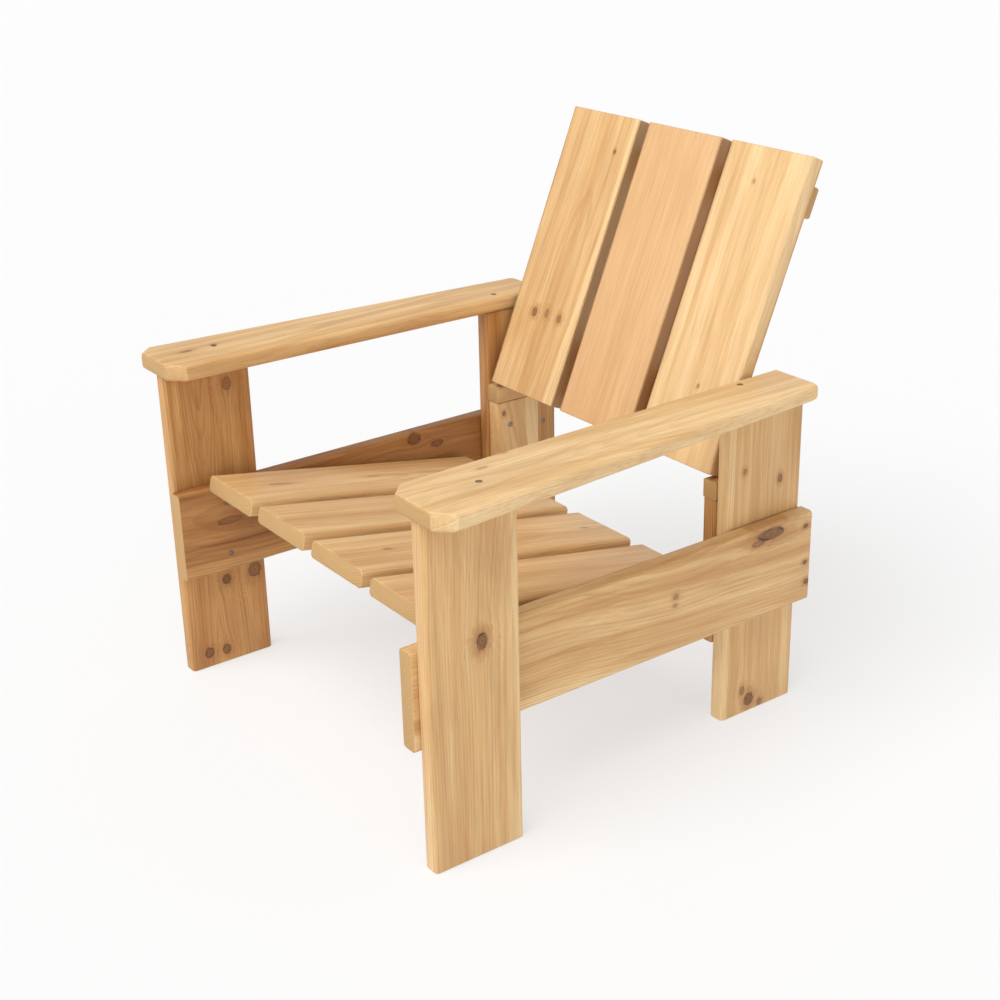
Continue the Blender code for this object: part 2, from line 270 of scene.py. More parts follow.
def signed_volume(piece: bpy.types.Object) -> float:
    """Measures the volume that a closed piece encloses.

    Args:
        piece: the object to measure.

    Returns:
        The volume in cubic metres, negative where the faces point inwards.
    """
    mesh = piece.data
    mesh.calc_loop_triangles()
    total = 0.0
    for triangle in mesh.loop_triangles:
        first, second, third = (mesh.vertices[index].co for index in triangle.vertices)
        total += first.dot(second.cross(third))
    return total / 6


def turn_outwards(piece: bpy.types.Object) -> None:
    """Turns every face of a closed piece outwards."""
    edit_all(piece, bpy.ops.mesh.normals_make_consistent, inside=False)
    if signed_volume(piece) < 0.0:
        edit_all(piece, bpy.ops.mesh.flip_normals)


def smooth(piece: bpy.types.Object, angle: float = 40.0) -> None:
    """Shades a piece smooth, with sharp edges where its faces turn by more than an angle."""
    take(piece)
    bpy.ops.object.shade_smooth_by_angle(angle=math.radians(angle))


def carve(piece: bpy.types.Object, cutter: bpy.types.Object) -> None:
    """Takes one closed piece out of another with a Boolean, and removes the cutter.

    Args:
        piece: the object that is cut.
        cutter: the object that is taken out of it.
    """
    take(piece)
    cut = piece.modifiers.new("cut", "BOOLEAN")
    cut.operation = "DIFFERENCE"
    cut.object = cutter
    bpy.ops.object.modifier_apply(modifier=cut.name)
    bpy.data.objects.remove(cutter, do_unlink=True)


def convex_outline(points: Sequence[tuple[float, float]]) -> list[tuple[float, float]]:
    """Finds the convex outline of flat points.

    Args:
        points: pairs of X and Y.

    Returns:
        The outline's corners in order, counter-clockwise.
    """
    ordered = sorted(set(points))

    def chain(run: Sequence[tuple[float, float]]) -> list[tuple[float, float]]:
        """Finds one side of the outline.

        Args:
            run: the points in order of X.

        Returns:
            That side's corners, without the last.
        """
        found: list[tuple[float, float]] = []
        for x, y in run:
            while len(found) > 1:
                (ax, ay), (bx, by) = found[-2:]
                if (bx - ax) * (y - ay) - (by - ay) * (x - ax) > LEAST_TURN:
                    break
                found.pop()
            found.append((x, y))
        return found[:-1]

    return chain(ordered) + chain(ordered[::-1])


def straightened(outline: list[tuple[float, float]], slack: float) -> list[tuple[float, float]]:
    """Drops the corners of a flat outline that lie almost on the line between their neighbours.

    Args:
        outline: the corners in order.
        slack: how far off that line, in metres, a corner has to be to stay.

    Returns:
        The corners that are left.
    """
    kept = list(outline)
    index = 0
    while index < len(kept):
        before, here, after = (Vector(kept[(index + step) % len(kept)]) for step in (-1, 0, 1))
        chord = after - before
        offset = abs(chord.x * (here.y - before.y) - chord.y * (here.x - before.x)) / chord.length
        if offset < slack:
            kept.pop(index)
            index = max(index - 1, 0)
        else:
            index += 1
    return kept


# ---------------------------------------------------------------- cedar


@dataclass(frozen=True)
class Figure:
    """How often a noise repeats along, across and through a plank, per metre."""

    along: float
    across: float
    through: float


class Shader:
    """A material's node tree, with short calls for the nodes that the finishes use."""

    def __init__(self, name: str) -> None:
        """Starts a material that holds one Principled shader."""
        self.material = bpy.data.materials.new(name)
        self.material.use_nodes = True
        self.tree = self.material.node_tree
        self.surface = self.tree.nodes["Principled BSDF"]

    def node(self, kind: str, **settings: object) -> bpy.types.Node:
        """Adds a node.

        Args:
            kind: the node's type.
            **settings: its properties.

        Returns:
            The new node.
        """
        node = self.tree.nodes.new(kind)
        for key, value in settings.items():
            setattr(node, key, value)
        return node

    def feed(self, socket: bpy.types.NodeSocket, value: object) -> None:
        """Links an input to an output, or gives it a fixed value.

        Args:
            socket: the input.
            value: an output, or a number, a colour or a direction.
        """
        if isinstance(value, bpy.types.NodeSocket):
            self.tree.links.new(value, socket)
        elif isinstance(value, tuple) and len(value) == 3 and socket.type == "RGBA":
            socket.default_value = (*value, 1.0)
        else:
            socket.default_value = value

    def math(self, operation: str, *values: object) -> bpy.types.NodeSocket:
        """Adds one step of arithmetic.

        Args:
            operation: Blender's name for it.
            *values: outputs or numbers.

        Returns:
            The result.
        """
        node = self.node("ShaderNodeMath", operation=operation)
        for socket, value in zip(node.inputs, values):
            self.feed(socket, value)
        return node.outputs[0]

    def times(self, first: object, second: object) -> bpy.types.NodeSocket:
        """The product of two numbers."""
        return self.math("MULTIPLY", first, second)

    def line(self, value: object, slope: object, start: object) -> bpy.types.NodeSocket:
        """A number times a slope, plus a start."""
        return self.math("MULTIPLY_ADD", value, slope, start)

    def vector(self, x: object, y: object, z: object) -> bpy.types.NodeSocket:
        """Joins three numbers, x, y and z, into the vector that it returns."""
        node = self.node("ShaderNodeCombineXYZ")
        for socket, value in zip(node.inputs, (x, y, z)):
            self.feed(socket, value)
        return node.outputs[0]

    def ease(self, value: object, low: float, high: float, to: float = 1.0) -> bpy.types.NodeSocket:
        """Rises smoothly from 0 at low to a limit at high, or falls where low is the larger.

        Args:
            value: the number that is looked up.
            low: where the result is 0.
            high: where it reaches the limit.
            to: the limit.

        Returns:
            The result.
        """
        node = self.node("ShaderNodeMapRange", interpolation_type="SMOOTHSTEP")
        if low > high:
            settings = (high, low, to, 0.0)
        else:
            settings = (low, high, 0.0, to)
        self.feed(node.inputs[0], value)
        for socket, setting in zip(list(node.inputs)[1:5], settings):
            socket.default_value = setting
        return node.outputs[0]

    def noise(
        self, point: object, scale: float = 1.0, detail: float = 2.0, rough: float = 0.5
    ) -> bpy.types.NodeSocket:
        """Adds smooth noise from 0 to 1 about a half.

        Args:
            point: where to look the noise up.
            scale: how often it repeats.
            detail: how many finer layers it has.
            rough: how strong they are.

        Returns:
            The noise.
        """
        node = self.node("ShaderNodeTexNoise")
        self.feed(node.inputs["Vector"], point)
        node.inputs["Scale"].default_value = scale
        node.inputs["Detail"].default_value = detail
        node.inputs["Roughness"].default_value = rough
        return node.outputs[0]

    def stretched(self, point: Point, figure: Figure, shift: float) -> bpy.types.NodeSocket:
        """A point in the wood, stretched for a noise that runs along the grain.

        Args:
            point: distances along, across and through the plank.
            figure: how often the noise repeats each way.
            shift: an offset, so that no two noises match.

        Returns:
            The vector to look the noise up at.
        """
        along, across, through = point
        return self.vector(
            self.times(along, figure.along),
            self.line(across, figure.across, shift),
            self.times(through, figure.through))

    def mix(
        self, share: object, first: object, second: object, blend: str = "MIX"
    ) -> bpy.types.NodeSocket:
        """Mixes two colours.

        Args:
            share: how much of the second one shows.
            first: a colour.
            second: another.
            blend: Blender's name for the way to mix them.

        Returns:
            The mixed colour.
        """
        node = self.node("ShaderNodeMix", data_type="RGBA", blend_type=blend)
        self.feed(node.inputs[0], share)
        self.feed(node.inputs[6], first)
        self.feed(node.inputs[7], second)
        return node.outputs[2]

    def shaded(self, colour: object, value: object, depth: float, middle: float) -> bpy.types.NodeSocket:
        """A colour made lighter and darker by a value, which is scaled by depth about middle."""
        grey = self.line(value, depth, middle)
        return self.mix(1.0, colour, self.vector(grey, grey, grey), "MULTIPLY")


class Cut(Enum):
    """How a plank was sawn: the pith's place across and below the plank, in metres."""

    FLAT = (0.012, -0.085)
    RIFT = (0.090, -0.130)
    QUARTER = (0.240, -0.035)
    HEART = (-0.018, -0.038)


class Tone(Enum):
    """Colours of a plank: heartwood, sapwood and streaks. The two darker tones also paint the shade on
    planks that lie in the chair's shade.
    """

    HONEY = ((0.635, 0.378, 0.158), (0.795, 0.565, 0.290), (0.450, 0.218, 0.072))
    # A darker heartwood, which also paints the shade on planks that lie in the chair's shade: the far
    # legs, the bearers and the pieces behind the back slats.
    AMBER = ((0.500, 0.235, 0.070), (0.670, 0.400, 0.155), (0.250, 0.085, 0.022))
    # Painted shade: a still darker copy, for the far rail's inner face.
    DEEP = ((0.370, 0.160, 0.045), (0.540, 0.290, 0.105), (0.190, 0.065, 0.018))
    ROSE = ((0.665, 0.402, 0.192), (0.715, 0.458, 0.232), (0.560, 0.305, 0.125))
    PALE = ((0.710, 0.460, 0.215), (0.850, 0.645, 0.370), (0.540, 0.300, 0.115))


@dataclass(frozen=True)
class Knot:
    """A knot: its place from the plank's centre and its half width, in metres."""

    along: float
    across: float
    radius: float
    stretch: float = 1.35
    dark: float = 0.85


@dataclass(frozen=True)
class Cedar:
    """A length of cedar under a clear finish.

    Attributes:
        slot: the record's material slot; not used.
        tone: the colours.
        cut: how the plank was sawn.
        seed: a number that moves every pattern, so that no two planks match.
        ring: distance between growth rings in metres.
        tilt: slope of the grain against the plank's length.
        wander: how far the grain strays sideways, in metres.
        sap_low: width of pale sapwood at the plank's lower or outer edge.
        sap_high: the same at the opposite edge.
        streaks: strength of the heartwood streaks.
        gap_shade: how much darker the plank's two long edges are than its faces, as painted shade for
            the gaps between slats.
        knots: the knots.
    """

    slot: str
    tone: Tone
    cut: Cut
    seed: int
    ring: float = 0.0034
    tilt: float = 0.0
    wander: float = 0.010
    sap_low: float = 0.0
    sap_high: float = 0.0
    streaks: float = 0.5
    gap_shade: float = 0.0
    knots: tuple[Knot, ...] = ()

    SEED_STEP: ClassVar[float] = 3.17
    FIBRE: ClassVar[Figure] = Figure(14.0, 620.0, 420.0)
    HAIR: ClassVar[Figure] = Figure(5.0, 430.0, 300.0)
    STREAK: ClassVar[Figure] = Figure(1.3, 62.0, 34.0)
    CLOUD: ClassVar[Figure] = Figure(5.0, 17.0, 12.0)
    PORE: ClassVar[Figure] = Figure(0.0, 1500.0, 1500.0)
    LIFT: ClassVar[float] = 0.06
    HALO_COLOUR: ClassVar[Colour] = (0.36, 0.145, 0.040)
    CORE_COLOUR: ClassVar[Colour] = (0.150, 0.055, 0.018)
    BARK_COLOUR: ClassVar[Colour] = (0.040, 0.016, 0.008)
    # Painted shade on the long edges that face the gaps between slats.
    GAP_SHADE_COLOUR: ClassVar[Colour] = (0.230, 0.092, 0.026)
    END_EARLY: ClassVar[Colour] = (0.70, 0.43, 0.175)
    END_LATE: ClassVar[Colour] = (0.42, 0.20, 0.068)
    END_DUST: ClassVar[Colour] = (0.60, 0.37, 0.155)
    GLOSS: ClassVar[float] = 0.32
    COAT_WEIGHT: ClassVar[float] = 0.03
    COAT_ROUGHNESS: ClassVar[float] = 0.40
    RISES: ClassVar[tuple[float, float, float]] = (0.45, -1.2, 0.6)
    BUMP_DEPTH: ClassVar[float] = 0.0005
    BUMP_STRENGTH: ClassVar[float] = 0.30

    def material(self, name: str, place: BoardPlace) -> bpy.types.Material:
        """Builds the plank's material.

        Args:
            name: the material's name.
            place: the plank's place, which the grain follows.

        Returns:
            The new material.
        """
        s = Shader(name)
        shift = self.seed * self.SEED_STEP
        x, y, z = self.plank_point(s, place)
        bulge, core, bark, halo = self.knot_fields(s, x, y)
        side, depth = self.grain_flow(s, (x, y, z), bulge, shift)
        grain = (x, side, depth)

        latewood = self.growth_rings(s, side, depth, shift)
        fibre = s.noise(s.stretched(grain, self.FIBRE, shift), detail=3.0, rough=0.6)
        hair = s.noise(s.stretched(grain, self.HAIR, -shift), detail=2.0, rough=0.7)
        slid = (s.math("ADD", x, shift / self.STREAK.along), side, depth)
        streak = s.noise(s.stretched(slid, self.STREAK, 0.0), detail=3.0, rough=0.62)
        cloud = s.noise(s.stretched(grain, self.CLOUD, shift))
        pores = s.noise(s.stretched((x, y, z), self.PORE, 0.0))

        dark = self.tone.value[2]
        colour = self.ground_colour(s, side, streak, cloud, place)
        colour = s.mix(s.times(latewood, 0.40), colour, dark)
        colour = s.mix(s.ease(hair, 0.54, 0.72, 0.34), colour, dark)
        colour = s.shaded(colour, s.math("SUBTRACT", fibre, 0.5), 0.50, 1.0)
        colour = s.mix(s.times(halo, 0.70), colour, self.HALO_COLOUR)
        colour = s.mix(core, colour, self.CORE_COLOUR)
        colour = s.mix(bark, colour, self.BARK_COLOUR)
        # Painted shade: the long edges that face the gaps between slats are darkened.
        shade_in_gaps = self.facing(s, place.across, 0.55, 0.95, self.gap_shade)
        colour = s.mix(shade_in_gaps, colour, self.GAP_SHADE_COLOUR)
        end = self.facing(s, place.along, 0.60, 0.92)
        colour = s.mix(end, colour, self.end_colour(s, latewood, pores))

        dull = s.line(cloud, 0.12, 0.42)
        dull = s.line(latewood, -0.06, dull)
        dull = s.line(end, 0.22, dull)
        s.feed(s.surface.inputs["Base Color"], colour)
        s.feed(s.surface.inputs["Roughness"], dull)
        s.surface.inputs["Specular IOR Level"].default_value = self.GLOSS
        s.surface.inputs["Coat Weight"].default_value = self.COAT_WEIGHT
        s.surface.inputs["Coat Roughness"].default_value = self.COAT_ROUGHNESS
        self.relief(s, fibre, latewood, bark, s.times(end, pores))
        return s.material

    def plank_point(self, s: Shader, place: BoardPlace) -> Point:
        """Finds where a point is in its plank.

        Args:
            s: the material's shader.
            place: the plank's place.

        Returns:
            Distances along, across and through from the plank's centre.
        """
        coordinates = s.node("ShaderNodeTexCoord")
        mapping = s.node("ShaderNodeMapping", vector_type="TEXTURE")
        mapping.inputs["Location"].default_value = place.centre
        mapping.inputs["Rotation"].default_value = place.matrix().to_euler()
        s.feed(mapping.inputs["Vector"], coordinates.outputs["Object"])
        split = s.node("ShaderNodeSeparateXYZ")
        s.feed(split.inputs[0], mapping.outputs[0])
        return tuple(split.outputs)

    def grain_flow(
        self, s: Shader, point: Point, bulge: object, shift: float
    ) -> tuple[bpy.types.NodeSocket, bpy.types.NodeSocket]:
        """Lets the grain lean, wander and part around the knots.

        Args:
            s: the material's shader.
            point: distances along, across and through the plank.
            bulge: how far the knots push the grain aside.
            shift: an offset from the seed.

        Returns:
            Distances across and through, as the grain sees them.
        """
        x, y, z = point
        place = s.vector(s.line(x, 2.4, shift), s.times(y, 3.0), shift)
        drift = s.math("SUBTRACT", s.noise(place), 0.5)
        side = s.line(x, self.tilt, y)
        side = s.line(drift, 2.0 * self.wander, side)
        side = s.math("SUBTRACT", side, bulge)
        place = s.vector(s.line(x, 1.7, -shift), 0.0, shift)
        lift = s.math("SUBTRACT", s.noise(place, detail=1.0), 0.5)
        return side, s.line(lift, self.LIFT, z)

    def end_colour(self, s: Shader, latewood: object, pores: object) -> bpy.types.NodeSocket:
        """The colour of the wood where it is sawn across the grain."""
        rings = s.mix(s.times(latewood, 0.55), self.END_EARLY, self.END_LATE)
        return s.mix(0.30, s.shaded(rings, pores, 0.5, 0.42), self.END_DUST)

    def knot_fields(self, s: Shader, x: object, y: object) -> tuple[object, object, object, object]:
        """Adds up the knots.

        Args:
            s: the material's shader.
            x: distance along the plank.
            y: distance across it.

        Returns:
            How far the grain is pushed aside, and the masks of the core, the bark ring and the halo.
        """
        bulge: object = 0.0
        core: object = 0.0
        bark: object = 0.0
        halo: object = 0.0
        for knot in self.knots:
            reach = knot.radius * knot.stretch
            dx = s.line(x, 1.0 / reach, -knot.along / reach)
            dy = s.line(y, 1.0 / knot.radius, -knot.across / knot.radius)
            wobble = s.noise(s.vector(dx, dy, knot.along * 97.0 + self.seed), scale=1.3, detail=2.0)
            distance = s.math("SQRT", s.math("ADD", s.times(dx, dx), s.times(dy, dy)))
            distance = s.times(distance, s.line(wobble, 1.1, 0.45))
            pull = s.math("POWER", math.e, s.times(s.math("POWER", distance, 1.6), -0.30))
            push = s.times(s.times(pull, dy), knot.radius * 0.72)
            bulge = s.math("ADD", push, bulge)
            swirl = s.line(s.math("SINE", s.times(distance, 15.0)), 0.16, 0.84)
            mask = s.times(s.ease(distance, 1.08, 0.72, knot.dark), swirl)
            core = s.math("MAXIMUM", mask, core)
            ring = s.times(s.ease(distance, 0.66, 0.92), s.ease(distance, 1.20, 0.98, knot.dark))
            bark = s.math("MAXIMUM", s.times(ring, s.ease(wobble, 0.30, 0.62)), bark)
            halo = s.math("MAXIMUM", s.ease(distance, 3.0, 0.7, knot.dark), halo)
        return bulge, core, bark, halo

    def growth_rings(
        self, s: Shader, side: object, depth: object, shift: float
    ) -> bpy.types.NodeSocket:
        """Draws the growth rings about the pith.

        Args:
            s: the material's shader.
            side: distance across the plank, with the grain's wandering.
            depth: distance through it.
            shift: an offset from the seed.

        Returns:
            The strength of the dark latewood line.
        """
        pith_side, pith_depth = self.cut.value
        a = s.math("SUBTRACT", side, pith_side)
        b = s.math("SUBTRACT", depth, pith_depth)
        radius = s.math("SQRT", s.math("ADD", s.times(a, a), s.times(b, b)))
        uneven = s.noise(s.vector(s.times(radius, 42.0), shift, 0.0), detail=1.0)
        count = s.math("ADD", s.times(radius, 1.0 / self.ring), s.times(uneven, 3.2))
        part = s.math("FRACT", count)
        late = s.times(s.ease(part, 0.35, 0.88), s.ease(part, 1.0, 0.93))
        lottery = s.node("ShaderNodeTexWhiteNoise", noise_dimensions="1D")
        s.feed(lottery.inputs["W"], s.math("ADD", s.math("FLOOR", count), shift))
        weight = s.line(lottery.outputs[0], 0.8, 0.2)
        return s.times(late, weight)

    def ground_colour(
        self, s: Shader, side: object, streak: object, cloud: object, place: BoardPlace
    ) -> bpy.types.NodeSocket:
        """Lays heartwood, streaks and sapwood bands.

        Args:
            s: the material's shader.
            side: distance across the plank, with the grain's wandering.
            streak: the streak noise.
            cloud: a softer, broader noise.
            place: the plank's place.

        Returns:
            The colour before rings, fibres and knots.
        """
        heart, sap, dark = self.tone.value
        colour = s.mix(s.ease(streak, 0.36, 0.66, 0.60), heart, sap)
        colour = s.mix(s.ease(streak, 0.46, 0.24, self.streaks), colour, dark)
        colour = s.mix(s.ease(cloud, 0.62, 0.30, 0.30), colour, dark)
        half = place.width / 2
        edge = s.line(s.math("SUBTRACT", streak, 0.5), 0.014, side)
        for width, sign in ((self.sap_low, -1.0), (self.sap_high, 1.0)):
            if width > 0.0:
                reach = s.times(edge, sign)
                colour = s.mix(s.ease(reach, half - width, half - width + 0.007, 0.85), colour, sap)
        return colour

    def facing(
        self, s: Shader, direction: Vector, low: float, high: float, to: float = 1.0
    ) -> bpy.types.NodeSocket:
        """The mask of the faces that look along a direction, either way.

        Args:
            s: the material's shader.
            direction: the direction in space.
            low: the cosine at which the mask begins.
            high: the cosine at which it is full.
            to: its full value.

        Returns:
            The mask.
        """
        geometry = s.node("ShaderNodeNewGeometry")
        cosine = s.node("ShaderNodeVectorMath", operation="DOT_PRODUCT")
        s.feed(cosine.inputs[0], geometry.outputs["Normal"])
        cosine.inputs[1].default_value = direction
        return s.ease(s.math("ABSOLUTE", cosine.outputs["Value"]), low, high, to)

    def relief(self, s: Shader, fibre: object, latewood: object, bark: object, pores: object) -> None:
        """Raises the fibres a little and sinks the knots' rims.

        Args:
            s: the material's shader.
            fibre: the fibre noise.
            latewood: the mask of the latewood lines.
            bark: the mask of the knots' rims.
            pores: the noise on sawn ends.
        """
        height = fibre
        for mask, rise in zip((latewood, bark, pores), self.RISES):
            height = s.line(mask, rise, height)
        bump = s.node("ShaderNodeBump")
        bump.inputs["Strength"].default_value = self.BUMP_STRENGTH
        bump.inputs["Distance"].default_value = self.BUMP_DEPTH
        s.feed(bump.inputs["Height"], height)
        s.feed(s.surface.inputs["Normal"], bump.outputs[0])


@dataclass(frozen=True)
class ZincPlate:
    """Dull zinc plate on the screws, greyed by weather."""

    slot: str = "zinc_screw"
    bright: Colour = (0.34, 0.30, 0.25)
    dull: Colour = (0.13, 0.10, 0.07)

    def material(self) -> bpy.types.Material:
        """Builds the screws' material."""
        s = Shader("zinc_plate")
        coordinates = s.node("ShaderNodeTexCoord")
        stain = s.noise(coordinates.outputs["Object"], scale=900.0, detail=3.0, rough=0.6)
        s.feed(s.surface.inputs["Base Color"], s.mix(s.ease(stain, 0.40, 0.62), self.dull, self.bright))
        s.surface.inputs["Metallic"].default_value = 0.85
        s.feed(s.surface.inputs["Roughness"], s.line(stain, 0.35, 0.28))
        return s.material


# ---------------------------------------------------------------- pieces


@dataclass
class Plank:
    """A straight plank that stands for one node of the frame.

    Attributes:
        node: the frame's node, whose name the piece takes with _wood added.
        wood: the cedar that it is cut from.
        rounding: radius of the long edges.
        end_rounding: easing of the two ends.
        piece: the plank's mesh object, once it is modelled.
        place: where it lies, once it is modelled.
    """

    node: str
    wood: Cedar
    rounding: float = 0.006
    end_rounding: float = 0.0016
    piece: bpy.types.Object | None = None
    place: BoardPlace | None = None

    LONG_SEGMENTS: ClassVar[int] = 6
    END_SEGMENTS: ClassVar[int] = 3
    MOST_ROUNDING: ClassVar[float] = 0.45

    def model(self, node: bpy.types.Object) -> bpy.types.Object:
        """Shapes the plank at the place of its node.

        Args:
            node: the frame's object.

        Returns:
            The finished mesh object.
        """
        self.place = BoardPlace.of_node(node)
        size = (self.place.length, self.place.width, self.place.thickness)
        half = self.place.length / 2
        self.piece = new_box(self.node + "_wood", size)
        bevel_edges(
            self.piece, lambda a, b: abs(a.x - b.x) > half,
            min(self.rounding, self.place.thickness * self.MOST_ROUNDING), self.LONG_SEGMENTS)
        bevel_edges(
            self.piece, lambda a, b: min(abs(a.x), abs(b.x)) > half - MERGE_DISTANCE,
            self.end_rounding, self.END_SEGMENTS)
        settle(self.piece, self.place.matrix())
        return self.piece

    def dress(self) -> None:
        """Gives the plank its cedar and hands it to the frame."""
        turn_outwards(self.piece)
        smooth(self.piece)
        self.piece.data.materials.clear()
        self.piece.data.materials.append(self.wood.material(self.node + "_cedar", self.place))
        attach(self.piece, BODY)
        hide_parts(self.node)


@dataclass
class Armrest(Plank):
    """A flat armrest, sawn to the tapered outline of its node.

    Attributes:
        outer_rounding: radius of the long outer edge.
        inner_rounding: radius of the long inner edge.
        arris: easing of the short edges at both ends.
        outline_slack: how far a corner of the outline stands out before it is sawn.
    """

    outer_rounding: float = 0.0105
    inner_rounding: float = 0.0065
    arris: float = 0.0035
    outline_slack: float = 0.0003

    def model(self, node: bpy.types.Object) -> bpy.types.Object:
        """Saws the armrest from a box and rounds its edges.

        Args:
            node: the frame's object.

        Returns:
            The finished mesh object.
        """
        low, high = (Vector(corner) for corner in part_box(self.node))
        size = high - low
        middle = (low + high) / 2
        blank = (size.x, size.y, size.z)
        self.piece = new_box(self.node + "_wood", blank, Matrix.Translation(middle))
        outline = straightened(
            convex_outline([(vertex.co.x, vertex.co.y) for vertex in node.data.vertices]),
            self.outline_slack)
        for (ax, ay), (bx, by) in zip(outline, outline[1:] + outline[:1]):
            start = Vector((ax, ay, middle.z))
            outward = Vector((by - ay, ax - bx, 0.0)).normalized()
            if max(abs(outward.x), abs(outward.y)) < PARALLEL:
                saw(self.piece, start, outward)
        edit_all(self.piece, bpy.ops.mesh.remove_doubles, threshold=MERGE_DISTANCE)
        turn_outwards(self.piece)
        self.place = self.lay_out(low, high)
        self.round_edges(size.y, middle)
        return self.piece

    def lay_out(self, low: Vector, high: Vector) -> BoardPlace:
        """Finds the armrest's place.

        Args:
            low: the lowest corner of its box.
            high: the highest corner.

        Returns:
            The place, with the grain from front to back.
        """
        size = high - low
        directions = (Vector((0, 1, 0)), Vector((1, 0, 0)), Vector((0, 0, -1)))
        return BoardPlace((low + high) / 2, *directions, size.y, size.x, size.z)

    def rounding_at(self, start: Vector, end: Vector, length: float, middle: Vector) -> float:
        """The radius for one edge of the rim.

        Args:
            start: one end of the edge.
            end: the other end.
            length: the armrest's length.
            middle: the armrest's centre.

        Returns:
            The radius in metres.
        """
        centre = (start + end) / 2
        if abs(start.y - end.y) > length / 2:
            outside = (centre.x - middle.x) * middle.x > 0.0
            return self.outer_rounding if outside else self.inner_rounding
        return self.outer_rounding if centre.y > middle.y else self.arris

    def round_edges(self, length: float, middle: Vector) -> None:
        """Rounds the whole rim in one bevel, with each edge to its own size.

        Args:
            length: the armrest's length.
            middle: its centre.
        """
        mesh = self.piece.data
        weights = mesh.attributes.new("bevel_weight_edge", "FLOAT", "EDGE")
        for edge in mesh.edges:
            start, end = (mesh.vertices[index].co for index in edge.vertices)
            if abs(start.z - end.z) < MERGE_DISTANCE:
                radius = self.rounding_at(start, end, length, middle)
                weights.data[edge.index].value = radius / self.outer_rounding
        take(self.piece)
        rim = self.piece.modifiers.new("rim", "BEVEL")
        rim.limit_method = "WEIGHT"
        rim.width = self.outer_rounding
        rim.segments = self.LONG_SEGMENTS
        rim.use_clamp_overlap = False
        bpy.ops.object.modifier_apply(modifier=rim.name)


@dataclass
class ScrewSet:
    """All the wood screws, modelled once and driven where the frame has them.

    Attributes:
        finish: the plating.
        shank_share: shank radius as a share of the head's.
        head_share: depth of the countersunk head as a share of its radius.
        socket_share: reach of the cross recess as a share of the head's radius.
        socket_width: width of the recess's arms.
        socket_depth: depth of the recess.
        recess: how far the hole's mouth goes below the wood's face.
        clearance: how much wider the mouth is than the head, all round.
        segments: sides of the head and the shank.
        point_share: width of the shank's tip as a share of its own.
    """

    finish: ZincPlate = field(default_factory=ZincPlate)
    shank_share: float = 0.52
    head_share: float = 0.70
    socket_share: float = 0.62
    socket_width: float = 0.0011
    socket_depth: float = 0.0016
    recess: float = 0.00045
    clearance: float = 0.00035
    segments: int = 32
    point_share: float = 0.08

    def model(self, name: str, place: ScrewPlace) -> bpy.types.Object:
        """Shapes one countersunk screw with a cross recess, pointing down from the origin.

        Args:
            name: the screw's name.
            place: the sizes to make it to.

        Returns:
            The new object.
        """
        head_depth = place.head_radius * self.head_share
        shank = place.head_radius * self.shank_share
        deselect_all()
        bpy.ops.mesh.primitive_cone_add(
            vertices=self.segments, radius1=shank, radius2=place.head_radius, depth=head_depth,
            location=(0.0, 0.0, -head_depth / 2))
        screw = bpy.context.object
        screw.name = name
        bpy.ops.object.transform_apply(location=True, rotation=True, scale=True)
        bpy.ops.object.mode_set(mode="EDIT")
        bpy.ops.mesh.select_mode(type="FACE")
        bpy.ops.mesh.select_all(action="DESELECT")
        bpy.ops.object.mode_set(mode="OBJECT")
        for face in screw.data.polygons:
            face.select = face.normal.z < -PARALLEL
        bpy.ops.object.mode_set(mode="EDIT")
        straight = place.length - head_depth - 2 * shank
        bpy.ops.mesh.extrude_region_move(TRANSFORM_OT_translate={"value": (0.0, 0.0, -straight)})
        bpy.ops.mesh.extrude_region_move(TRANSFORM_OT_translate={"value": (0.0, 0.0, -2 * shank)})
        bpy.ops.transform.resize(value=(self.point_share, self.point_share, 1.0))
        bpy.ops.object.mode_set(mode="OBJECT")
        reach = 2 * place.head_radius * self.socket_share
        for size in ((reach, self.socket_width), (self.socket_width, reach)):
            carve(screw, new_box("recess", (*size, 2 * self.socket_depth)))
        return screw

    def drive(self, node: str, obj: bpy.types.Object, board: Plank) -> None:
        """Puts a screw in its place and opens the mouth of its hole.

        Args:
            node: the screw's node.
            obj: the frame's object for it.
            board: the plank that its head lies in.
        """
        place = ScrewPlace.of_node(obj)
        screw = self.model(node + "_steel", place)
        turn = place.inward.to_track_quat("-Z", "Y").to_matrix().to_4x4()
        settle(screw, Matrix.Translation(place.head) @ turn)
        turn_outwards(screw)
        smooth(screw, 30.0)
        screw.data.materials.clear()
        screw.data.materials.append(bpy.data.materials.get("zinc_plate") or self.finish.material())
        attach(screw, BODY)
        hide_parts(node)
        deselect_all()
        bpy.ops.mesh.primitive_cylinder_add(
            vertices=self.segments, radius=place.head_radius + self.clearance, depth=2 * self.recess)
        cutter = bpy.context.object
        settle(cutter, Matrix.Translation(place.head) @ turn)
        carve(board.piece, cutter)


# ---------------------------------------------------------------- the chair's sub-assemblies


